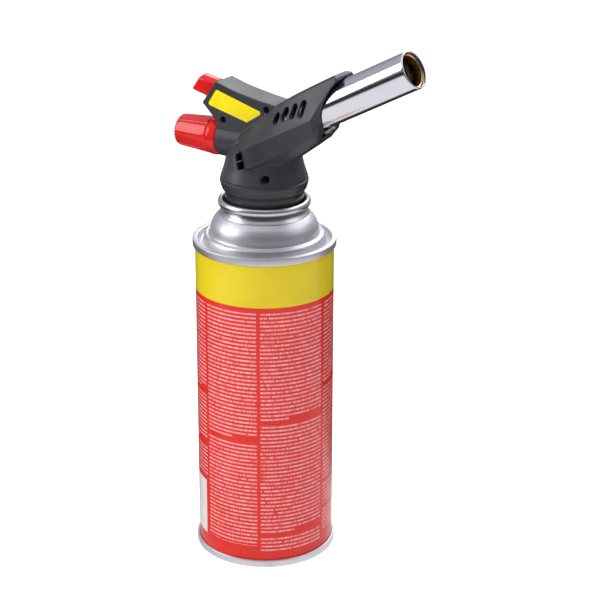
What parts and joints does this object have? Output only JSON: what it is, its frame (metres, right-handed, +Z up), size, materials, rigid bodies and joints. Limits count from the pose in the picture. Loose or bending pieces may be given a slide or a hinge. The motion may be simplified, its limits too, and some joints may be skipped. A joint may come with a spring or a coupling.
{
  "type": "butane torch",
  "caption": "Hand torch: bayonet gas cartridge with a clip-on head, slanted flame tube, gas valve knob and push-button igniter.",
  "frame": {"origin": "middle of the part's bounding box, on the surface that the cartridge stands on", "axes": "+Z up along the cartridge's axis; the flame tube points to +X and the knob to -X; y = 0 is the head's mid-plane"},
  "size_m": [0.1289, 0.0684, 0.2573],
  "materials": {
    "printed_can": "gloss",
    "tinplate": "satin",
    "rolled_tin": "bright",
    "grey_plastic": "fine texture",
    "black_plastic": "smooth",
    "red_plastic": "gloss",
    "yellow_label": "satin",
    "brass": "turned",
    "polished_steel": "polished",
    "zinc_steel": "zinc plated",
    "dark_steel": "heat darkened",
    "seal_rubber": "smooth",
    "acetal": "smooth",
    "white_ceramic": "fired",
    "wire_sleeve": "smooth"
  },
  "bodies": {
    "cartridge": {"can_body": "printed_can", "can_base": "tinplate", "can_top_dome": "tinplate", "valve_cup": "tinplate", "mounting_collar": "rolled_tin", "valve_chamber": "acetal", "stem_gasket": "seal_rubber", "stem_spring": "zinc_steel"},
    "stem": {"valve_stem": "acetal"},
    "head": {"base_ring": "black_plastic", "gas_block": "brass", "inlet_nipple": "brass", "inlet_filter": "brass", "inlet_seal": "seal_rubber", "gland_nut": "brass", "spindle_seal": "seal_rubber", "jet_nozzle": "brass", "burner_tube": "polished_steel", "mixer_tube": "brass", "flame_holder": "dark_steel", "mouth_ring": "brass", "electrode_sleeve": "white_ceramic", "electrode": "zinc_steel", "tube_clamp": "zinc_steel", "clamp_screw": "zinc_steel", "housing_near": "grey_plastic", "housing_far": "grey_plastic", "label_near": "yellow_label", "label_far": "yellow_label", "housing_screw_rear": "dark_steel", "housing_screw_front": "dark_steel", "housing_screw_neck": "dark_steel", "piezo_body": "black_plastic", "igniter_spring": "zinc_steel", "ignition_lead": "wire_sleeve", "earth_lead": "wire_sleeve"},
    "knob": {"knob": "red_plastic", "valve_spindle": "brass"},
    "needle": {"needle": "zinc_steel"},
    "igniter": {"igniter_button": "red_plastic", "piezo_plunger": "zinc_steel"}
  },
  "joints": [
    {"name": "bayonet_turn", "type": "hinge", "parent": "cartridge", "child": "head", "pos_m": [-0.01793, 0, 0.1771], "axis": [0, 0, 1], "range_deg": [0, 60]},
    {"name": "knob_turn", "type": "hinge", "parent": "head", "child": "knob", "pos_m": [-0.04473, 0, 0.2041], "axis": [-1, 0, 0], "range_deg": [0, 270]},
    {"name": "needle_slide", "type": "slide", "parent": "head", "child": "needle", "axis": [-1, 0, 0], "range_m": [0, 0.0006]},
    {"name": "igniter_press", "type": "slide", "parent": "head", "child": "igniter", "axis": [0.9744, 0, -0.225], "range_m": [0, 0.005], "stiffness_N_per_m": 400, "springref_m": -0.004, "deforming": ["igniter_spring"]},
    {"name": "stem_press", "type": "slide", "parent": "cartridge", "child": "stem", "axis": [0, 0, -1], "range_m": [0, 0.0012], "stiffness_N_per_m": 800, "springref_m": -0.002, "deforming": ["stem_spring"]}
  ],
  "couplings": [
    {"joint": "needle_slide", "follows": "knob_turn", "m_per_rad": 0.00012732}
  ]
}
